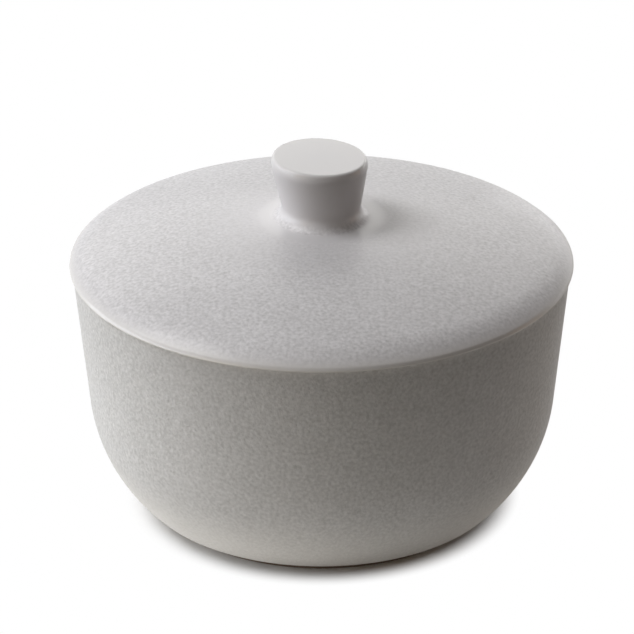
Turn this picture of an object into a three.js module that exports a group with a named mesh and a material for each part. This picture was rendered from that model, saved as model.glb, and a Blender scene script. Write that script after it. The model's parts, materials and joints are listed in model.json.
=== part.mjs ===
// Sugar bowl with a lift-off lid, in glazed stoneware.
// Millimetres, +Z up, origin on the table at the centre of the foot ring.
// Both pieces are turned forms: each is one closed profile in the (radius, height) half-plane, swept round Z.
// The lid's flat seat lies on the bowl's rim, and a locating ring below the seat drops into the mouth.

import * as THREE from 'three';

// Bowl: outside
const RIM_RADIUS = 54.6; // outer radius of the mouth, at the rim
const BOWL_HEIGHT = 56.5; // table to rim
const WALL_DRAFT = 5.4; // degrees that the wall leans in, going down
const BELLY_RADIUS = 36.2; // arc that turns the wall under
const HEEL_ANGLE = 45.9; // degrees below level that the belly has turned to where it stops

// Bowl: wall, floor and rim
const BOWL_WALL = 4.0;
const FLOOR_THICKNESS = 4.5;
const FLOOR_FILLET = 14.0; // inside corner between wall and floor
const RIM_OUTER_ROUND = 0.4;
const RIM_INNER_ROUND = 1.2;

// Bowl: foot ring, set in under the belly so that a line of shadow shows
const FOOT_HEIGHT = 2.6; // table to the lower end of the belly
const FOOT_INSET = 3.4; // end of the belly to the outside of the ring
const FOOT_WIDTH = 4.2;
const FOOT_RECESS = 2.0; // depth of the hollow inside the ring
const FOOT_ROUND = 0.5;
const HEEL_ROUND = 0.6;

// Lid: dome and edge
const LID_OVERHANG = 0.75; // lid edge beyond the rim
const LID_EDGE = 1.5; // height of the edge
const EDGE_LEAN = 22.0; // degrees that the edge leans in, going up
const LID_WALL = 4.0;
const DOME_RADIUS = 180.0;
const SHOULDER_RADIUS = 14.0; // arc that rolls the dome over to the edge
const SHOULDER_ANGLE = 41.5; // degrees of slope where the dome meets the edge
const EDGE_TOP_ROUND = 1.4;
const EDGE_LOW_ROUND = 0.25;

// Lid: locating ring in the bowl's mouth
const RING_CLEARANCE = 1.0; // ring to the bowl's inner wall
const RING_DEPTH = 6.0;
const RING_WALL = 3.4;
const RING_ROUND = 1.0;
const SEAT_FILLET = 0.5; // corner between the seat and the ring
const HOLLOW_FILLET = 3.0; // corner between the ring and the underside of the dome

// Knob
const KNOB_RADIUS = 10.5; // at its widest, near the top
const KNOB_HEIGHT = 13.8; // crown of the dome to the middle of the top face
const KNOB_TAPER = 11.3; // degrees that the side narrows, going down
const KNOB_BROW_RADIUS = 4.0; // soft turn from the side to the edge of the top face
const KNOB_BROW_LEAN = 20.0; // degrees that the brow leans in where the edge starts
const KNOB_EDGE_ROUND = 1.0;
const KNOB_ROOT_FILLET = 2.7;
const KNOB_SLANT = 2.3; // degrees that the hand-dressed top falls towards +X
const KNOB_LEAN = 2.0; // degrees that the knob leans towards -X

// Facets
const TURN_SEGMENTS = 64;
const CHORD_SAG = 0.06; // most that a facet cuts inside an arc of a profile

const rad = THREE.MathUtils.degToRad;
const deg = THREE.MathUtils.radToDeg;

function point(r, z) {
  return new THREE.Vector2(r, z);
}

// Unit vector at an angle in degrees from the outward radial line, up positive.
function direction(angle) {
  return point(Math.cos(rad(angle)), Math.sin(rad(angle)));
}

function polar(centre, radius, angle) {
  return centre.clone().addScaledVector(direction(angle), radius);
}

function angleOf(vector) {
  return deg(Math.atan2(vector.y, vector.x));
}

// Points along an arc, both ends included, with as many facets as CHORD_SAG asks for.
function arc(centre, radius, from, to) {
  const step = deg(2 * Math.acos(1 - CHORD_SAG / radius));
  const count = Math.max(2, Math.ceil(Math.abs(to - from) / step));
  return Array.from({ length: count + 1 }, (_, i) => polar(centre, radius, from + ((to - from) * i) / count));
}

// Arc that rounds the corner between the lines before-corner and corner-after.
function roundCorner(before, corner, after, radius) {
  const into = corner.clone().sub(before).normalize();
  const out = after.clone().sub(corner).normalize();
  const turn = Math.atan2(into.cross(out), into.dot(out));
  const start = corner.clone().addScaledVector(into, -radius * Math.tan(Math.abs(turn) / 2));
  const inward = point(-into.y, into.x).multiplyScalar(Math.sign(turn));
  const from = angleOf(inward) + 180;
  return arc(start.addScaledVector(inward, radius), radius, from, from + deg(turn));
}

// Outline from corners of the form [point] or [point, round], with the rounds put in.
function roundedOutline(corners) {
  return corners.flatMap(([corner, round], i) =>
    round ? roundCorner(corners[i - 1][0], corner, corners[i + 1][0], round) : [corner],
  );
}

// Sweeps a profile round Z. It runs anticlockwise, from the axis out and back to the axis.
function turned(name, profile, material) {
  const geometry = new THREE.LatheGeometry(profile, TURN_SEGMENTS);
  geometry.rotateX(Math.PI / 2);
  const mesh = new THREE.Mesh(geometry, material);
  mesh.name = name;
  return mesh;
}

// The wall that bowl and lid share: its outer and inner radius at a height above the belly
function outerRadiusAt(z) {
  return RIM_RADIUS - (BOWL_HEIGHT - z) * Math.tan(rad(WALL_DRAFT));
}

function innerRadiusAt(z) {
  return outerRadiusAt(z) - BOWL_WALL / Math.cos(rad(WALL_DRAFT));
}

function buildBowl(material) {
  // The belly leaves the wall smoothly and stops at the heel, FOOT_HEIGHT up.
  const bellyZ = FOOT_HEIGHT + BELLY_RADIUS * Math.sin(rad(HEEL_ANGLE));
  const turnZ = bellyZ - BELLY_RADIUS * Math.sin(rad(WALL_DRAFT));
  const belly = point(outerRadiusAt(turnZ) - BELLY_RADIUS * Math.cos(rad(WALL_DRAFT)), bellyZ);
  const outerBelly = arc(belly, BELLY_RADIUS, -HEEL_ANGLE, -WALL_DRAFT);

  // Underside: hollow, foot ring, and the ledge out to the heel
  const heel = outerBelly[0];
  const footOuter = heel.x - FOOT_INSET;
  const footInner = footOuter - FOOT_WIDTH;
  const underside = roundedOutline([
    [point(0, FOOT_RECESS)],
    [point(footInner, FOOT_RECESS), FOOT_ROUND],
    [point(footInner, 0), FOOT_ROUND],
    [point(footOuter, 0), FOOT_ROUND],
    [point(footOuter, FOOT_HEIGHT), FOOT_ROUND],
    [heel, HEEL_ROUND],
    [outerBelly[1]],
  ]);

  // Rim: flat, with both edges rounded
  const rim = roundedOutline([
    [point(outerRadiusAt(turnZ), turnZ)],
    [point(RIM_RADIUS, BOWL_HEIGHT), RIM_OUTER_ROUND],
    [point(innerRadiusAt(BOWL_HEIGHT), BOWL_HEIGHT), RIM_INNER_ROUND],
    [point(innerRadiusAt(turnZ), turnZ)],
  ]);

  // Inside: the belly's arc one wall in, then a fillet that touches both it and the floor
  const floorZ = FOOT_RECESS + FLOOR_THICKNESS;
  const innerBelly = BELLY_RADIUS - BOWL_WALL;
  const filletDrop = belly.y - floorZ - FLOOR_FILLET;
  const filletReach = Math.sqrt((innerBelly - FLOOR_FILLET) ** 2 - filletDrop ** 2);
  const fillet = point(belly.x + filletReach, belly.y - filletDrop);
  const meetAngle = angleOf(point(filletReach, -filletDrop));

  return turned('bowl', [
    ...underside,
    ...outerBelly.slice(2),
    ...rim.slice(1, -1),
    ...arc(belly, innerBelly, -WALL_DRAFT, meetAngle),
    ...arc(fillet, FLOOR_FILLET, meetAngle, -90).slice(1),
    point(0, floorZ),
  ], material);
}

// Gives the knob its hand-made stance: it leans from rootZ up, and from browZ to topZ it tips off level.
function dressKnob(mesh, rootZ, browZ, topZ) {
  const position = mesh.geometry.attributes.position;
  for (let i = 0; i < position.count; i += 1) {
    const x = position.getX(i);
    const z = position.getZ(i);
    const share = THREE.MathUtils.clamp((z - browZ) / (topZ - browZ), 0, 1);
    position.setX(i, x - Math.max(z - rootZ, 0) * Math.tan(rad(KNOB_LEAN)));
    position.setZ(i, z - share * x * Math.tan(rad(KNOB_SLANT)));
  }
  mesh.geometry.computeVertexNormals();
}

function buildLid(material) {
  const edgeRadius = RIM_RADIUS + LID_OVERHANG;
  const seatZ = BOWL_HEIGHT;
  const seatOuter = point(edgeRadius, seatZ);

  // Top: the edge's round, a shoulder arc and the dome follow one another smoothly, which places their centres.
  const shoulderEnd = 90 - SHOULDER_ANGLE;
  const edgeRise = LID_EDGE - EDGE_TOP_ROUND;
  const edgeInset = EDGE_TOP_ROUND / Math.cos(rad(EDGE_LEAN)) + edgeRise * Math.tan(rad(EDGE_LEAN));
  const edge = point(edgeRadius - edgeInset, seatZ + edgeRise);
  const shoulder = polar(edge, EDGE_TOP_ROUND - SHOULDER_RADIUS, shoulderEnd);
  const dome = point(0, shoulder.y - Math.sqrt((DOME_RADIUS - SHOULDER_RADIUS) ** 2 - shoulder.x ** 2));
  const domeEnd = angleOf(shoulder.clone().sub(dome));

  // Knob: round top edge, soft brow and straight tapered side
  const topZ = dome.y + DOME_RADIUS + KNOB_HEIGHT;
  const browStep = KNOB_BROW_RADIUS - KNOB_EDGE_ROUND;
  const browZ = topZ - KNOB_EDGE_ROUND - browStep * Math.sin(rad(KNOB_BROW_LEAN));
  const brow = point(KNOB_RADIUS - KNOB_BROW_RADIUS, browZ);
  const crown = polar(brow, browStep, KNOB_BROW_LEAN);
  const sideTop = polar(brow, KNOB_BROW_RADIUS, -KNOB_TAPER);

  // Knob root: a fillet that touches the side and the dome. Its centre slides down beside the side to the dome.
  const sideDown = direction(-90 - KNOB_TAPER);
  const start = polar(sideTop, KNOB_ROOT_FILLET, -KNOB_TAPER).sub(dome);
  const fall = start.dot(sideDown);
  const rootDistance = DOME_RADIUS + KNOB_ROOT_FILLET;
  const slide = -fall - Math.sqrt(fall ** 2 - start.lengthSq() + rootDistance ** 2);
  const root = start.addScaledVector(sideDown, slide).add(dome);
  const rootEnd = angleOf(root.clone().sub(dome));
  const rootFillet = arc(root, KNOB_ROOT_FILLET, rootEnd + 180, 180 - KNOB_TAPER);

  // Underside: seat, and the locating ring parallel to the bowl's inner wall
  const ringLowZ = seatZ - RING_DEPTH;
  const ringOuter = innerRadiusAt(ringLowZ) - RING_CLEARANCE;
  const ringInner = ringOuter - RING_WALL;

  // Hollow: the dome's arc one wall in, then a fillet that touches both it and the ring
  const hollowRadius = DOME_RADIUS - LID_WALL;
  const filletRadius = ringInner - HOLLOW_FILLET;
  const filletRise = Math.sqrt((hollowRadius - HOLLOW_FILLET) ** 2 - filletRadius ** 2);
  const fillet = point(filletRadius, dome.y + filletRise);
  const hollowEnd = angleOf(point(filletRadius, filletRise));

  const underside = roundedOutline([
    [point(ringInner, fillet.y)],
    [point(ringInner, ringLowZ), RING_ROUND],
    [point(ringOuter, ringLowZ), RING_ROUND],
    [point(innerRadiusAt(seatZ) - RING_CLEARANCE, seatZ), SEAT_FILLET],
    [seatOuter, EDGE_LOW_ROUND],
    [polar(seatOuter, LID_EDGE, 90 + EDGE_LEAN)],
  ]);

  const lid = turned('lid', [
    point(0, dome.y + hollowRadius),
    ...arc(dome, hollowRadius, 90, hollowEnd).slice(1),
    ...arc(fillet, HOLLOW_FILLET, hollowEnd, 0).slice(1),
    ...underside.slice(1, -1),
    ...arc(edge, EDGE_TOP_ROUND, EDGE_LEAN, shoulderEnd),
    ...arc(shoulder, SHOULDER_RADIUS, shoulderEnd, domeEnd).slice(1),
    ...arc(dome, DOME_RADIUS, domeEnd, rootEnd).slice(1),
    ...rootFillet.slice(1),
    ...arc(brow, KNOB_BROW_RADIUS, -KNOB_TAPER, KNOB_BROW_LEAN),
    ...arc(crown, KNOB_EDGE_ROUND, KNOB_BROW_LEAN, 90).slice(1),
    point(0, topZ),
  ], material);
  dressKnob(lid, rootFillet.at(-1).y, sideTop.y, topZ);
  return lid;
}

const bowlGlaze = new THREE.MeshStandardMaterial({ color: 0xb9b7b2, roughness: 0.55, metalness: 0 });
const lidGlaze = new THREE.MeshStandardMaterial({ color: 0xbdbbb7, roughness: 0.5, metalness: 0 });

const sugarBowl = new THREE.Group();
sugarBowl.add(buildBowl(bowlGlaze), buildLid(lidGlaze));

export default sugarBowl;
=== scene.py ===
"""Sugar bowl with a lift-off lid, in grey glazed stoneware: turned meshes, glazes, studio and camera."""

import json
import logging
import math
from abc import ABC, abstractmethod
from dataclasses import dataclass
from enum import Enum

import bmesh
import bpy
from mathutils import Matrix, Vector


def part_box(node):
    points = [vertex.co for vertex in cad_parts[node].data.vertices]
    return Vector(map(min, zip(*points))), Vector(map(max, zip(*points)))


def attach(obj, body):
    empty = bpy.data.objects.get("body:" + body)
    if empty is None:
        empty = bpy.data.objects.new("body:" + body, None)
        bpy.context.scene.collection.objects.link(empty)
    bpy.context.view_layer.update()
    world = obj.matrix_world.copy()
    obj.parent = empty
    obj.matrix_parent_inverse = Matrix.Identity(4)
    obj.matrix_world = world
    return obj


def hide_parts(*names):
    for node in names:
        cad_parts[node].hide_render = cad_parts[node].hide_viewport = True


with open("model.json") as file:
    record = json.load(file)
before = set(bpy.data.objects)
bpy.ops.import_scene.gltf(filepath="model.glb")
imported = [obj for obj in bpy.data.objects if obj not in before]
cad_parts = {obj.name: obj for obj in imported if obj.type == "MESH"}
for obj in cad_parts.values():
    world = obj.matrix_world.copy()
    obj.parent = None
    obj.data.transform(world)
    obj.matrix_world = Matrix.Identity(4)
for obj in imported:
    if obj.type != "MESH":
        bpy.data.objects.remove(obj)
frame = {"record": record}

LOG = logging.getLogger("sugar_bowl")
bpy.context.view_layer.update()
IMAGE_PIXELS = 634
MM = 0.001

Shell = bmesh.types.BMesh
Value = object  # a socket's own value, or the output socket that drives it


class Piece(Enum):
    """The two pieces, each one node on a body of the same name."""

    BOWL = "bowl"
    LID = "lid"


class Mask(Enum):
    """Vertex attributes that tell the glaze where it lies differently, and where light is painted on it."""

    BARE = "bare_clay"
    # Glaze thinned on rims and edges, and painted light on the lower belly and the lid's nose
    THIN = "thin_glaze_and_painted_light"
    CALM = "calm_glaze"


class MixSocket(Enum):
    """Sockets of a colour Mix node, which Blender gives no names of their own."""

    FACTOR = 0
    A = 6
    B = 7
    RESULT = 2


def linear(code: str) -> tuple[float, float, float, float]:
    """Turns an sRGB hex code into a linear colour.

    Args:
        code: colour as "#rrggbb".

    Returns:
        Red, green, blue and alpha, from 0 to 1.
    """
    shares = [int(code[i:i + 2], 16) / 255 for i in (1, 3, 5)]
    red, green, blue = [c / 12.92 if c <= 0.04045 else ((c + 0.055) / 1.055) ** 2.4 for c in shares]
    return red, green, blue, 1.0


def per_metre(size_mm: float) -> float:
    """Scale of a noise whose cells are this many millimetres across."""
    return 1 / (size_mm * MM)


def polar(centre: Vector, radius: float, angle: float) -> Vector:
    """Point on a circle in the (radius, height) plane.

    Args:
        centre: centre of the circle.
        radius: radius of the circle.
        angle: degrees from the outward radial line, up positive.

    Returns:
        The point.
    """
    turn = math.radians(angle)
    return centre + radius * Vector((math.cos(turn), math.sin(turn)))


def angle_of(way: Vector) -> float:
    """Degrees of a direction in the (radius, height) plane, from the outward radial line."""
    return math.degrees(math.atan2(way.y, way.x))


def smooth_step(low: float, high: float, value: float) -> float:
    """Share from 0 to 1 that eases in and out between two values.

    Args:
        low: value at which the share leaves 0.
        high: value at which the share reaches 1.
        value: value to place between them.

    Returns:
        The share.
    """
    share = min(max((value - low) / (high - low), 0.0), 1.0)
    return share * share * (3 - 2 * share)


def add_node(tree: bpy.types.NodeTree, kind: str, inputs: dict[str | int, Value] | None = None,
             **settings: Value) -> bpy.types.Node:
    """Adds a node, sets its properties, and sets or links its inputs.

    Args:
        tree: node tree that takes the node.
        kind: Blender's name for the node's type.
        inputs: values or output sockets, by the input's name or number.
        **settings: properties of the node.

    Returns:
        The new node.
    """
    node = tree.nodes.new(kind)
    for name, value in settings.items():
        setattr(node, name, value)
    for name, value in (inputs or {}).items():
        if isinstance(value, bpy.types.NodeSocket):
            tree.links.new(value, node.inputs[name])
        else:
            node.inputs[name].default_value = value
    return node


@dataclass(frozen=True)
class StonewareGlaze:
    """Grey stoneware glaze, dipped and fired.

    It breaks into a fine mottle and lies in a shallow orange peel.
    """

    name: str
    body: str = "#E4E3E1"
    fleck: str = "#B3B2AF"
    # Pale colour of thinned glaze, also used as painted light
    thin_and_painted_light: str = "#E6E3DC"
    clay: str = "#6E6055"
    mottle_mm: float = 0.75
    cloud_mm: float = 18.0
    ripple_mm: float = 0.8
    ripple_height_mm: float = 0.08
    tooth_mm: float = 0.35
    tooth_height_mm: float = 0.015
    octaves: float = 2.0
    grain_falloff: float = 0.45
    noise_falloff: float = 0.5
    cloud_share: float = 0.2
    fleck_from: float = 0.2
    fleck_to: float = 1.0
    calm_fleck: float = 0.5
    calm_relief: float = 0.15
    calm_gloss_from: float = 0.7
    ragged_share: float = 0.5
    wiped_from: float = 0.65
    wiped_to: float = 0.85
    roughness: float = 0.5
    clay_roughness: float = 0.85
    ior: float = 1.5
    coat: float = 0.0
    knob_coat: float = 0.0
    coat_roughness: float = 0.15

    def material(self) -> bpy.types.Material:
        """Builds the glaze's nodes on Object coordinates and the piece's own masks.

        Returns:
            The material.
        """
        made = bpy.data.materials.new(self.name)
        made.use_nodes = True
        tree = made.node_tree
        tree.nodes.clear()
        place = add_node(tree, "ShaderNodeTexCoord").outputs["Object"]
        grain, cloud, ripple, tooth = [
            add_node(tree, "ShaderNodeTexNoise", {
                "Vector": place, "Scale": per_metre(size_mm), "Detail": self.octaves, "Roughness": falloff,
            }).outputs["Fac"]
            for size_mm, falloff in (
                (self.mottle_mm, self.grain_falloff),
                (self.cloud_mm, self.noise_falloff),
                (self.ripple_mm, self.noise_falloff),
                (self.tooth_mm, self.noise_falloff),
            )
        ]
        bare, thin_and_painted_light, calm = [
            add_node(tree, "ShaderNodeAttribute", attribute_name=mask.value).outputs["Fac"]
            for mask in (Mask.BARE, Mask.THIN, Mask.CALM)
        ]
        # Flecks thicken and thin out over the pot as the glaze does
        drift = add_node(tree, "ShaderNodeMath", {
            0: cloud, 1: self.cloud_share, 2: grain,
        }, operation="MULTIPLY_ADD").outputs[0]
        flecks = add_node(tree, "ShaderNodeMapRange", {
            "Value": drift, "From Min": self.fleck_from, "From Max": self.fleck_to,
        }).outputs[0]
        # Where the glaze ran smooth, the flecks sink into it, the surface levels and it shines more
        sunk = add_node(tree, "ShaderNodeMapRange", {
            "Value": calm, "To Min": flecks, "To Max": self.calm_fleck,
        }).outputs[0]
        rough = add_node(tree, "ShaderNodeMapRange", {
            "Value": calm, "To Min": 1.0, "To Max": self.calm_relief,
        }).outputs[0]
        gloss: Value = self.coat
        if self.knob_coat != self.coat:
            gloss = add_node(tree, "ShaderNodeMapRange", {
                "Value": calm, "From Min": self.calm_gloss_from,
                "To Min": self.coat, "To Max": self.knob_coat,
            }).outputs[0]
        # The wiped foot has a ragged border with the glaze
        ragged = add_node(tree, "ShaderNodeMath", {
            0: grain, 1: self.ragged_share, 2: bare,
        }, operation="MULTIPLY_ADD").outputs[0]
        wiped = add_node(tree, "ShaderNodeMapRange", {
            "Value": ragged, "From Min": self.wiped_from, "From Max": self.wiped_to,
        }).outputs[0]
        dull = add_node(tree, "ShaderNodeMapRange", {
            "Value": wiped, "To Min": self.roughness, "To Max": self.clay_roughness,
        }).outputs[0]
        # Flecks darken the body. The pale colour of thinned glaze lightens rims and edges, and is painted
        # on as light on the lower belly and the lid's nose. Bare clay shows on the foot.
        tone: Value = linear(self.body)
        for share, colour in ((sunk, self.fleck), (thin_and_painted_light, self.thin_and_painted_light), (wiped, self.clay)):
            tone = add_node(tree, "ShaderNodeMix", {
                MixSocket.FACTOR.value: share, MixSocket.A.value: tone, MixSocket.B.value: linear(colour),
            }, data_type="RGBA").outputs[MixSocket.RESULT.value]
        waves = add_node(tree, "ShaderNodeBump", {
            "Height": ripple, "Distance": self.ripple_height_mm * MM, "Strength": rough,
        }).outputs["Normal"]
        skin = add_node(tree, "ShaderNodeBump", {
            "Height": tooth, "Distance": self.tooth_height_mm * MM, "Strength": rough, "Normal": waves,
        }).outputs["Normal"]
        shader = add_node(tree, "ShaderNodeBsdfPrincipled", {
            "Base Color": tone, "Roughness": dull, "IOR": self.ior, "Normal": skin,
            "Coat Weight": gloss, "Coat Roughness": self.coat_roughness,
        })
        add_node(tree, "ShaderNodeOutputMaterial", {"Surface": shader.outputs["BSDF"]})
        return made


class ProfilePen:
    """Draws a profile in the plane of X, the radius, and Z, the height. Sizes are in millimetres."""

    touch_mm: float = 0.01
    chord_mm: float = 1.0
    bend_degrees: float = 6.0
    least_steps: int = 3

    def __init__(self, shell: Shell, start: Vector) -> None:
        """Puts the pen down.

        Args:
            shell: bmesh that takes the profile.
            start: first point, as radius and height.
        """
        self.shell = shell
        self.tip = bmesh.ops.create_vert(shell, co=self.place(start))["vert"][0]

    @staticmethod
    def place(point: Vector) -> Vector:
        """Turns radius and height in millimetres into a place in metres."""
        return Vector((point.x, 0.0, point.y)) * MM

    def at(self) -> Vector:
        """Radius and height of the pen's tip."""
        return Vector((self.tip.co.x, self.tip.co.z)) / MM

    def line(self, end: Vector, steps: int = 1) -> None:
        """Draws a straight stretch.

        Args:
            end: where it ends.
            steps: number of edges.
        """
        step = (self.place(end) - self.tip.co) / steps
        for _ in range(steps):
            grown = bmesh.ops.extrude_vert_indiv(self.shell, verts=[self.tip])["verts"][0]
            bmesh.ops.translate(self.shell, verts=[grown], vec=step)
            self.tip = grown

    def arc(self, centre: Vector, radius: float, start: float, end: float) -> None:
        """Draws an arc, after a line to its start where the pen isn't there yet.

        Args:
            centre: centre of the arc.
            radius: radius of the arc.
            start: degrees of its first point, seen from the centre.
            end: degrees of its last point.
        """
        first = polar(centre, radius, start)
        if (first - self.at()).length > self.touch_mm:
            self.line(first)
        sweep = math.radians(end - start)
        by_length = abs(sweep) * radius / self.chord_mm
        by_bend = abs(end - start) / self.bend_degrees
        spun = bmesh.ops.spin(
            self.shell, geom=[self.tip], cent=self.place(centre), axis=(0, -1, 0), dvec=(0, 0, 0),
            angle=sweep, steps=max(self.least_steps, math.ceil(max(by_length, by_bend))),
            use_merge=False, use_duplicate=False,
        )
        self.tip = next(part for part in spun["geom_last"] if isinstance(part, bmesh.types.BMVert))

    def corner(self, corner: Vector, after: Vector, round_mm: float) -> None:
        """Draws a line towards a corner and rounds it.

        Args:
            corner: sharp corner.
            after: a point that the profile heads for past the corner.
            round_mm: radius of the round.
        """
        into = (corner - self.at()).normalized()
        out = (after - corner).normalized()
        turn = math.atan2(into.x * out.y - into.y * out.x, into.dot(out))
        start = corner - into * round_mm * math.tan(abs(turn) / 2)
        inward = Vector((-into.y, into.x)) * math.copysign(1, turn)
        opening = angle_of(-inward)
        self.arc(start + inward * round_mm, round_mm, opening, opening + math.degrees(turn))


@dataclass
class TurnedPiece(ABC):
    """A piece thrown and turned on the wheel: one profile, spun once round Z."""

    piece: Piece
    glaze: StonewareGlaze
    segments: int = 288
    weld_mm: float = 0.001

    @abstractmethod
    def draw(self, shell: Shell) -> None:
        """Draws the profile, from the axis out, round and back to the axis.

        Args:
            shell: empty bmesh that takes the profile.
        """

    @abstractmethod
    def masks(self, radius: float, height: float) -> dict[Mask, float]:
        """Says how the glaze lies at a point of the profile.

        Args:
            radius: distance from the axis, in millimetres.
            height: height above the table, in millimetres.

        Returns:
            A share from 0 to 1 for each mask.
        """

    def dress_form(self, shell: Shell) -> None:
        """Changes the turned form by hand, where the piece has that.

        Args:
            shell: bmesh of the turned piece.
        """

    def mark(self, shell: Shell) -> None:
        """Writes the masks on the profile, which hands them on as it is spun.

        Args:
            shell: bmesh that holds the profile alone.
        """
        layers = {mask: shell.verts.layers.float.new(mask.value) for mask in Mask}
        for vert in shell.verts:
            for mask, share in self.masks(vert.co.x / MM, vert.co.z / MM).items():
                vert[layers[mask]] = share

    def build(self) -> bpy.types.Object:
        """Spins the profile into a closed mesh with its masks.

        Returns:
            The piece's object, at the origin.
        """
        shell = bmesh.new()
        self.draw(shell)
        self.mark(shell)
        bmesh.ops.spin(
            shell, geom=shell.verts[:] + shell.edges[:], cent=(0, 0, 0), axis=(0, 0, 1), dvec=(0, 0, 0),
            angle=math.tau, steps=self.segments, use_merge=True, use_duplicate=False,
        )
        bmesh.ops.remove_doubles(shell, verts=shell.verts, dist=self.weld_mm * MM)
        bmesh.ops.recalc_face_normals(shell, faces=shell.faces)
        self.dress_form(shell)
        for face in shell.faces:
            face.smooth = True
        mesh = bpy.data.meshes.new(self.piece.value)
        shell.to_mesh(mesh)
        shell.free()
        made = bpy.data.objects.new(f"{self.piece.value}_stoneware", mesh)
        bpy.context.scene.collection.objects.link(made)
        return made

    def dress(self, made: bpy.types.Object, slot: str) -> None:
        """Glazes the piece and puts it on its body, in place of its node.

        Args:
            made: the piece's object.
            slot: material slot of the record; not used.
        """
        made.data.materials.append(self.glaze.material())
        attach(made, self.piece.value)
        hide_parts(self.piece.value)


def nearness(point: Vector, line: Vector, reach: float) -> float:
    """Share that fades from 1 on a turned line to 0 some way off it.

    Args:
        point: radius and height of a point.
        line: radius and height of the line.
        reach: distance at which the share is about a third.

    Returns:
        The share.
    """
    return math.exp(-((point - line).length / reach) ** 2)


@dataclass(frozen=True)
class EdgeBand:
    """A band along a turned line where the glaze lies differently, and on the lid's nose where light is
    painted. Its reach is in millimetres.
    """

    share: float
    reach: float

    def at(self, point: Vector, line: Vector) -> float:
        """Share of the band at a point, both points given as radius and height."""
        return self.share * nearness(point, line, self.reach)


@dataclass
class Bowl(TurnedPiece):
    """The pot: tapered wall, round belly, flat rim, and a foot ring set in. Millimetres and degrees.

    Pairs are the heights between which the glaze, and the painted bounce light on the lower belly, change.
    """

    rim_radius: float = 54.6
    height: float = 56.5
    draft: float = 5.4
    belly_radius: float = 36.2
    heel_angle: float = 45.9
    wall: float = 4.0
    floor_thickness: float = 4.5
    floor_fillet: float = 14.0
    rim_outer_round: float = 0.4
    rim_inner_round: float = 1.2
    foot_height: float = 2.6
    foot_inset: float = 3.4
    foot_width: float = 4.2
    foot_recess: float = 2.0
    foot_round: float = 0.5
    heel_round: float = 0.6
    wall_steps: int = 16
    rim_band: float = 2.0
    bare_foot: tuple[float, float] = (0.6, 2.4)
    # Painted bounce light from the table: the lower belly takes the pale colour of thinned glaze, fading
    # out between these heights
    painted_bounce_belly: tuple[float, float] = (6.0, 22.0)
    painted_bounce_share: float = 0.6
    rim_outer_thin: EdgeBand = EdgeBand(0.3, 0.6)
    rim_inner_thin: EdgeBand = EdgeBand(0.7, 1.2)

    def outer_at(self, height: float) -> float:
        """Outer radius of the wall at a height above the belly."""
        return self.rim_radius - (self.height - height) * math.tan(math.radians(self.draft))

    def inner_at(self, height: float) -> float:
        """Inner radius of the wall at a height above the belly."""
        return self.outer_at(height) - self.wall / math.cos(math.radians(self.draft))

    def turn_height(self) -> float:
        """Height at which the wall turns into the belly."""
        draft = math.radians(self.draft)
        return self.belly_height() - self.belly_radius * math.sin(draft)

    def belly_height(self) -> float:
        """Height of the centre of the belly's arc."""
        return self.foot_height + self.belly_radius * math.sin(math.radians(self.heel_angle))

    def belly(self) -> Vector:
        """Centre of the belly's arc."""
        inset = self.belly_radius * math.cos(math.radians(self.draft))
        return Vector((self.outer_at(self.turn_height()) - inset, self.belly_height()))

    def heel(self) -> Vector:
        """Lower end of the belly."""
        return polar(self.belly(), self.belly_radius, -self.heel_angle)

    def foot_outer(self) -> float:
        """Outer radius of the foot ring."""
        return self.heel().x - self.foot_inset

    def draw(self, shell: Shell) -> None:
        """Draws the profile: hollow, foot ring, belly, wall, rim and inside.

        Args:
            shell: empty bmesh that takes the profile.
        """
        belly, heel, turn = self.belly(), self.heel(), self.turn_height()
        outer = self.foot_outer()
        inner = outer - self.foot_width
        pen = ProfilePen(shell, Vector((0.0, self.foot_recess)))
        ring = [
            Vector((inner, self.foot_recess)), Vector((inner, 0.0)), Vector((outer, 0.0)),
            Vector((outer, self.foot_height)), heel,
        ]
        for corner, after in zip(ring, ring[1:]):
            pen.corner(corner, after, self.foot_round)
        leaving = 90 - self.heel_angle
        pen.corner(heel, polar(heel, 1.0, leaving), self.heel_round)
        taken = self.heel_round * math.tan(math.radians(leaving) / 2) / self.belly_radius
        pen.arc(belly, self.belly_radius, math.degrees(taken) - self.heel_angle, -self.draft)
        wall_top = self.height - self.rim_band
        pen.line(Vector((self.outer_at(wall_top), wall_top)), self.wall_steps)
        rim_outer = Vector((self.rim_radius, self.height))
        rim_inner = Vector((self.inner_at(self.height), self.height))
        pen.corner(rim_outer, rim_inner, self.rim_outer_round)
        pen.corner(rim_inner, Vector((self.inner_at(turn), turn)), self.rim_inner_round)
        floor = self.foot_recess + self.floor_thickness
        inside = self.belly_radius - self.wall
        drop = belly.y - floor - self.floor_fillet
        reach = math.sqrt((inside - self.floor_fillet) ** 2 - drop ** 2)
        meeting = angle_of(Vector((reach, -drop)))
        pen.arc(belly, inside, -self.draft, meeting)
        pen.arc(belly + Vector((reach, -drop)), self.floor_fillet, meeting, -90)
        pen.line(Vector((0.0, floor)))

    def masks(self, radius: float, height: float) -> dict[Mask, float]:
        """Leaves the foot ring bare, thins the glaze on the rim, and paints bounce light from the table on
        the lower belly.

        Args:
            radius: distance from the axis, in millimetres.
            height: height above the table, in millimetres.

        Returns:
            A share from 0 to 1 for each mask.
        """
        point = Vector((radius, height))
        rim_outer = Vector((self.rim_radius, self.height))
        rim_inner = Vector((self.inner_at(self.height), self.height))
        outside = float(radius > self.foot_outer())
        return {
            Mask.BARE: 1 - smooth_step(*self.bare_foot, height),
            Mask.THIN: max(
                self.rim_outer_thin.at(point, rim_outer),
                self.rim_inner_thin.at(point, rim_inner),
                # Painted bounce light from the table on the lower belly
                self.painted_bounce_share * outside * (1 - smooth_step(*self.painted_bounce_belly, height)),
            ),
            Mask.CALM: 0.0,
        }


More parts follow.
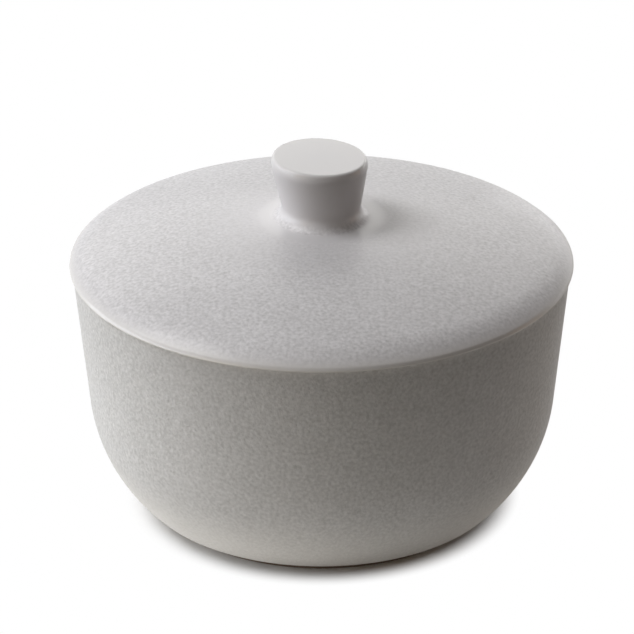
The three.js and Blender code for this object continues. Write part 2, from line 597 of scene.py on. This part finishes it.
@dataclass
class Lid(TurnedPiece):
    """The cover: low dome, rounded edge, seat, locating ring and waisted knob. Millimetres and degrees.

    Pairs are where the glaze changes: outwards from the knob's widest radius, up from the centre of the
    fillet at its root, or up from the ring's lower end.
    """

    bowl: Bowl | None = None
    overhang: float = 0.75
    edge: float = 1.5
    edge_lean: float = 22.0
    wall: float = 4.0
    dome_radius: float = 180.0
    shoulder_radius: float = 14.0
    shoulder_angle: float = 41.5
    edge_top_round: float = 1.4
    edge_low_round: float = 0.25
    ring_clearance: float = 1.0
    ring_depth: float = 6.0
    ring_wall: float = 3.4
    ring_round: float = 1.0
    seat_fillet: float = 0.5
    hollow_fillet: float = 3.0
    knob_radius: float = 10.5
    knob_height: float = 13.8
    knob_taper: float = 11.3
    knob_brow_radius: float = 4.0
    knob_brow_lean: float = 20.0
    knob_edge_round: float = 0.7
    knob_root_fillet: float = 2.7
    knob_slant: float = 2.3
    knob_fall: float = 1.0
    knob_lean: float = 2.0
    warp: float = 0.3
    tilt: float = 0.12
    bare_ring: tuple[float, float] = (0.5, 2.5)
    calm_dome: tuple[float, float] = (4.0, 24.0)
    calm_dome_share: float = 0.6
    calm_root: tuple[float, float] = (2.0, 7.0)
    calm_knob: tuple[float, float] = (-2.5, -0.5)
    edge_calm: EdgeBand = EdgeBand(1.0, 2.4)
    # Glaze thinned on the edge, widened into painted light that lightens the whole rounded nose
    nose_thin_and_painted_light: EdgeBand = EdgeBand(0.45, 1.8)
    edge_crest_thin: EdgeBand = EdgeBand(0.9, 0.6)
    knob_edge_thin: EdgeBand = EdgeBand(0.15, 1.0)

    def edge_radius(self) -> float:
        """Radius of the lid's edge."""
        return self.bowl.rim_radius + self.overhang

    def edge_centre(self) -> Vector:
        """Finds the centre of the round on the edge's upper corner, which touches the leaning side.

        Returns:
            Radius and height.
        """
        lean = math.radians(self.edge_lean)
        rise = self.edge - self.edge_top_round
        inset = self.edge_top_round / math.cos(lean) + rise * math.tan(lean)
        return Vector((self.edge_radius() - inset, self.bowl.height + rise))

    def shoulder(self) -> Vector:
        """Centre of the arc that rolls the dome over to the edge."""
        inward = self.edge_top_round - self.shoulder_radius
        return polar(self.edge_centre(), inward, 90 - self.shoulder_angle)

    def dome(self) -> Vector:
        """Finds the centre of the dome's arc, on the axis.

        Returns:
            Radius and height.
        """
        shoulder = self.shoulder()
        drop = math.sqrt((self.dome_radius - self.shoulder_radius) ** 2 - shoulder.x ** 2)
        return Vector((0.0, shoulder.y - drop))

    def knob_top(self) -> float:
        """Height of the middle of the knob's top face."""
        return self.dome().y + self.dome_radius + self.knob_height

    def brow(self) -> Vector:
        """Finds the centre of the arc that bends the knob's side in again below its top.

        Returns:
            Radius and height.
        """
        rise = (self.knob_brow_radius - self.knob_edge_round) * math.sin(math.radians(self.knob_brow_lean))
        height = self.knob_top() - self.knob_edge_round - rise
        return Vector((self.knob_radius - self.knob_brow_radius, height))

    def crown(self) -> Vector:
        """Centre of the round on the knob's top edge."""
        return polar(self.brow(), self.knob_brow_radius - self.knob_edge_round, self.knob_brow_lean)

    def root(self) -> Vector:
        """Finds the centre of the root's fillet, slid down the knob's side until it meets the dome.

        Returns:
            Radius and height.
        """
        beside = self.knob_brow_radius + self.knob_root_fillet
        side = polar(self.brow(), beside, -self.knob_taper) - self.dome()
        down = polar(Vector((0.0, 0.0)), 1.0, -90 - self.knob_taper)
        fall = side.dot(down)
        distance = self.dome_radius + self.knob_root_fillet
        slide = -fall - math.sqrt(fall ** 2 - side.length_squared + distance ** 2)
        return self.dome() + side + down * slide

    def ring_low(self) -> float:
        """Height of the locating ring's lower end."""
        return self.bowl.height - self.ring_depth

    def draw(self, shell: Shell) -> None:
        """Draws the profile: hollow, locating ring, seat, edge, dome and knob.

        Args:
            shell: empty bmesh that takes the profile.
        """
        seat = self.bowl.height
        dome, shoulder, root = self.dome(), self.shoulder(), self.root()
        ring_outer = self.bowl.inner_at(self.ring_low()) - self.ring_clearance
        ring_inner = ring_outer - self.ring_wall
        hollow = self.dome_radius - self.wall
        reach = ring_inner - self.hollow_fillet
        rise = math.sqrt((hollow - self.hollow_fillet) ** 2 - reach ** 2)
        hollow_end = angle_of(Vector((reach, rise)))
        pen = ProfilePen(shell, Vector((0.0, dome.y + hollow)))
        pen.arc(dome, hollow, 90, hollow_end)
        pen.arc(dome + Vector((reach, rise)), self.hollow_fillet, hollow_end, 0)
        low_inner = Vector((ring_inner, self.ring_low()))
        low_outer = Vector((ring_outer, self.ring_low()))
        seat_inner = Vector((self.bowl.inner_at(seat) - self.ring_clearance, seat))
        seat_outer = Vector((self.edge_radius(), seat))
        pen.corner(low_inner, low_outer, self.ring_round)
        pen.corner(low_outer, seat_inner, self.ring_round)
        pen.corner(seat_inner, seat_outer, self.seat_fillet)
        pen.corner(seat_outer, polar(seat_outer, self.edge, 90 + self.edge_lean), self.edge_low_round)
        shoulder_end = 90 - self.shoulder_angle
        dome_end = angle_of(shoulder - dome)
        root_end = angle_of(root - dome)
        pen.arc(self.edge_centre(), self.edge_top_round, self.edge_lean, shoulder_end)
        pen.arc(shoulder, self.shoulder_radius, shoulder_end, dome_end)
        pen.arc(dome, self.dome_radius, dome_end, root_end)
        pen.arc(root, self.knob_root_fillet, root_end + 180, 180 - self.knob_taper)
        pen.arc(self.brow(), self.knob_brow_radius, -self.knob_taper, self.knob_brow_lean)
        pen.arc(self.crown(), self.knob_edge_round, self.knob_brow_lean, 90)
        pen.line(Vector((0.0, self.knob_top())))

    def dress_form(self, shell: Shell) -> None:
        """Leans the knob and slants its top, as it was dressed by hand, and warps the lid as the kiln did.

        The knob's brow is taller where it leans to. The lid's left and right sides lift off the rim.

        Args:
            shell: bmesh of the turned lid.
        """
        root = polar(self.root(), self.knob_root_fillet, 180 - self.knob_taper).y
        low = polar(self.brow(), self.knob_brow_radius, -self.knob_taper).y
        high = self.knob_top()
        slope = math.tan(math.radians(self.knob_slant))
        fall = math.tan(math.radians(self.knob_fall))
        lean = math.tan(math.radians(self.knob_lean))
        for vert in shell.verts:
            height = vert.co.z / MM
            share = min(max((height - low) / (high - low), 0.0), 1.0)
            across = vert.co.x / MM / self.edge_radius()
            vert.co.z -= share * (vert.co.x * slope - vert.co.y * fall)
            vert.co.z += (self.warp * across ** 2 - self.tilt * across) * MM
            vert.co.x -= max(height - root, 0.0) * lean * MM

    def masks(self, radius: float, height: float) -> dict[Mask, float]:
        """Leaves the ring's end bare, thins the glaze on the edges, paints light on the edge's rounded
        nose, and calms the glaze on and round the knob.

        Args:
            radius: distance from the axis, in millimetres.
            height: height above the table, in millimetres.

        Returns:
            A share from 0 to 1 for each mask.
        """
        point = Vector((radius, height))
        edge_low = Vector((self.edge_radius(), self.bowl.height))
        knob_edge = polar(self.crown(), self.knob_edge_round, 45)
        past_knob = radius - self.knob_radius
        on_dome = float(past_knob > 0 and height > self.bowl.height)
        return {
            Mask.BARE: 1 - smooth_step(*self.bare_ring, height - self.ring_low()),
            Mask.THIN: max(
                # Painted light on the nose, with glaze thinned and paler at its arris
                self.nose_thin_and_painted_light.at(point, edge_low),
                self.edge_crest_thin.at(point, edge_low),
                self.knob_edge_thin.at(point, knob_edge),
            ),
            Mask.CALM: max(
                smooth_step(*self.calm_knob, height - self.root().y),
                on_dome * (1 - smooth_step(*self.calm_root, past_knob)),
                on_dome * self.calm_dome_share * (1 - smooth_step(*self.calm_dome, past_knob)),
                self.edge_calm.at(point, edge_low),
            ),
        }


@dataclass(frozen=True)
class Softbox:
    """A large diffused studio lamp. Degrees, metres and watts."""

    name: str
    bearing: float  # round the pot, from +X towards +Y
    rise: float  # above the table's level, seen from the aim
    size: tuple[float, float]
    power: float
    tint: str = "#FFFFFF"
    distance: float = 1.0
    aim_height: float = 0.04

    def hang(self) -> bpy.types.Object:
        """Hangs the lamp and turns it to its aim.

        Returns:
            The lamp's object.
        """
        lamp = bpy.data.lights.new(self.name, "AREA")
        lamp.shape = "RECTANGLE"
        lamp.size, lamp.size_y = self.size
        lamp.energy = self.power
        lamp.color = linear(self.tint)[:3]
        made = bpy.data.objects.new(self.name, lamp)
        level, rise = math.radians(self.bearing), math.radians(self.rise)
        way = Vector((math.cos(level) * math.cos(rise), math.sin(level) * math.cos(rise), math.sin(rise)))
        made.location = way * self.distance + Vector((0.0, 0.0, self.aim_height))
        made.rotation_euler = (-way).to_track_quat("-Z", "Y").to_euler()
        bpy.context.scene.collection.objects.link(made)
        return made


@dataclass(frozen=True)
class Studio:
    """A white card on the table, and a white surround. Past the pot's shadow both show as plain white."""

    floor_metres: float = 6.0
    floor_drop: float = 0.00001
    card: str = "#F4F4F4"
    table: str = "#202020"
    card_mm: float = 130.0
    card_fade_mm: float = 10.0
    shade_from_mm: float = 38.0
    shade_to_mm: float = 45.0

    def seen(self, tree: bpy.types.NodeTree) -> bpy.types.NodeSocket:
        """Adds the test for rays that show the surround, straight or in a reflection.

        Args:
            tree: node tree that takes the nodes.

        Returns:
            1 for a camera, glossy or transmission ray, and 0 for others.
        """
        path = add_node(tree, "ShaderNodeLightPath")
        either = add_node(tree, "ShaderNodeMath", {
            0: path.outputs["Is Camera Ray"], 1: path.outputs["Is Glossy Ray"],
        }, operation="MAXIMUM")
        return add_node(tree, "ShaderNodeMath", {
            0: either.outputs[0], 1: path.outputs["Is Transmission Ray"],
        }, operation="MAXIMUM").outputs[0]

    def surround(self) -> None:
        """Makes the world: white where it is seen, and no light of its own on the pot."""
        world = bpy.data.worlds.new("white_surround")
        world.use_nodes = True
        tree = world.node_tree
        tree.nodes.clear()
        light = add_node(tree, "ShaderNodeBackground", {"Color": (1, 1, 1, 1), "Strength": self.seen(tree)})
        add_node(tree, "ShaderNodeOutputWorld", {"Surface": light.outputs[0]})
        bpy.context.scene.world = world

    def table_material(self) -> bpy.types.Material:
        """Builds the white card, which throws light up at the pot, and the table round it.

        Returns:
            The material.
        """
        made = bpy.data.materials.new("white_card_on_table")
        made.use_nodes = True
        tree = made.node_tree
        tree.nodes.clear()
        place = add_node(tree, "ShaderNodeTexCoord").outputs["Object"]
        away = add_node(tree, "ShaderNodeVectorMath", {0: place}, operation="LENGTH").outputs["Value"]
        clear = add_node(tree, "ShaderNodeMapRange", {
            "Value": away, "From Min": self.shade_from_mm * MM, "From Max": self.shade_to_mm * MM,
        }, interpolation_type="SMOOTHSTEP").outputs[0]
        share = add_node(tree, "ShaderNodeMath", {0: clear, 1: self.seen(tree)}, operation="MULTIPLY")
        past = add_node(tree, "ShaderNodeMapRange", {
            "Value": away, "From Min": self.card_mm * MM,
            "From Max": (self.card_mm + self.card_fade_mm) * MM,
        }).outputs[0]
        tone = add_node(tree, "ShaderNodeMix", {
            MixSocket.FACTOR.value: past, MixSocket.A.value: linear(self.card),
            MixSocket.B.value: linear(self.table),
        }, data_type="RGBA").outputs[MixSocket.RESULT.value]
        paper = add_node(tree, "ShaderNodeBsdfDiffuse", {"Color": tone})
        white = add_node(tree, "ShaderNodeEmission", {"Color": (1, 1, 1, 1), "Strength": 1.0})
        mix = add_node(tree, "ShaderNodeMixShader", {
            0: share.outputs[0], 1: paper.outputs[0], 2: white.outputs[0],
        })
        add_node(tree, "ShaderNodeOutputMaterial", {"Surface": mix.outputs[0]})
        return made

    def floor(self) -> bpy.types.Object:
        """Lays the table, with its card, under the pot.

        Returns:
            The table's object.
        """
        shell = bmesh.new()
        bmesh.ops.create_grid(
            shell, x_segments=1, y_segments=1, size=self.floor_metres / 2,
            matrix=Matrix.Translation((0, 0, -self.floor_drop)),
        )
        mesh = bpy.data.meshes.new("table")
        shell.to_mesh(mesh)
        shell.free()
        mesh.materials.append(self.table_material())
        made = bpy.data.objects.new("table", mesh)
        bpy.context.scene.collection.objects.link(made)
        return made


@dataclass(frozen=True)
class PhotoCamera:
    """The camera of the photograph, held a little off level. Millimetres, degrees and pixels."""

    distance_mm: float = 800.0
    aim_height_mm: float = 57.0
    elevation: float = 24.80
    pitch: float = 25.72
    roll: float = 0.27
    focal_pixels: float = 3645.0
    left_mm: float = 1.04
    sensor_mm: float = 36.0

    def place(self) -> bpy.types.Object:
        """Sets up the camera and makes it the scene's.

        Returns:
            The camera's object.
        """
        lens = bpy.data.cameras.new("photo_camera")
        lens.sensor_width = self.sensor_mm
        lens.lens = self.focal_pixels / IMAGE_PIXELS * self.sensor_mm
        made = bpy.data.objects.new("photo_camera", lens)
        rise = math.radians(self.elevation)
        stand = Vector((
            -self.left_mm,
            -self.distance_mm * math.cos(rise),
            self.aim_height_mm + self.distance_mm * math.sin(rise),
        )) * MM
        tilt = Matrix.Rotation(math.radians(90 - self.pitch), 4, "X")
        lean = Matrix.Rotation(math.radians(-self.roll), 4, "Z")
        made.matrix_world = Matrix.Translation(stand) @ tilt @ lean
        bpy.context.scene.collection.objects.link(made)
        bpy.context.scene.camera = made
        return made


# Dry matt glaze: light spreads evenly over the wall, and the mottle shows as fine sandy flecks
WALL_GLAZE = StonewareGlaze("matt_stoneware_glaze", ripple_height_mm=0.12, roughness=0.65, ior=1.45)
# Satin glaze, a little thicker and cooler: a broad soft sheen, with more shine where it ran smooth
LID_GLAZE = StonewareGlaze(
    "satin_stoneware_glaze", body="#E8E6E8", fleck="#ABA9AA", coat=0.15, knob_coat=0.45,
)

# Window light from the left, a pale wall behind, and weak warm bounce that lifts the shaded side
LAMPS = (
    Softbox("window_high", 180.0, 53.0, (0.45, 0.45), 5.4),
    Softbox("window_low", 180.0, 9.0, (1.20, 0.40), 6.2, "#F3F8FF"),
    Softbox("ceiling", 0.0, 87.0, (0.50, 0.50), 0.7),
    Softbox("back_wall", 90.0, 30.0, (1.20, 0.50), 2.8, "#FFFDF8"),
    Softbox("back_right", 52.0, 6.0, (1.00, 0.30), 2.0),
    Softbox("front_left", 225.0, 10.0, (0.40, 0.40), 0.8, "#FFDCA8"),
    Softbox("right_edge", 8.0, 7.0, (0.40, 0.30), 0.5, "#FFC890"),
)


def box_gap(made: bpy.types.Object, node: str) -> float:
    """Measures how far a dressed piece's box departs from its node's box.

    Args:
        made: the piece's object.
        node: name of the node that it stands for.

    Returns:
        The largest difference at any side, in millimetres.
    """
    corners = [Vector(c) for c in made.bound_box]
    low = Vector([min(c[i] for c in corners) for i in range(3)])
    high = Vector([max(c[i] for c in corners) for i in range(3)])
    node_low, node_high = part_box(node)
    return max(abs(d) for d in [*(low - node_low), *(high - node_high)]) / MM


def main() -> None:
    """Builds the studio, the camera and both pieces, and reports each piece."""
    logging.basicConfig(level=logging.INFO, format="%(message)s")
    bpy.context.scene.view_settings.view_transform = "Standard"
    PhotoCamera().place()
    studio = Studio()
    studio.surround()
    studio.floor()
    for lamp in LAMPS:
        lamp.hang()
    slot = frame["record"]["materials"][0]["slot"]
    bowl = Bowl(Piece.BOWL, WALL_GLAZE)
    lid = Lid(Piece.LID, LID_GLAZE, bowl=bowl)
    for piece in (bowl, lid):
        made = piece.build()
        piece.dress(made, slot)
        LOG.info("%s: %d faces, %.2f mm from its node's box", made.name, len(made.data.polygons),
                 box_gap(made, piece.piece.value))
    bpy.context.view_layer.update()


if __name__ == "__main__":
    main()
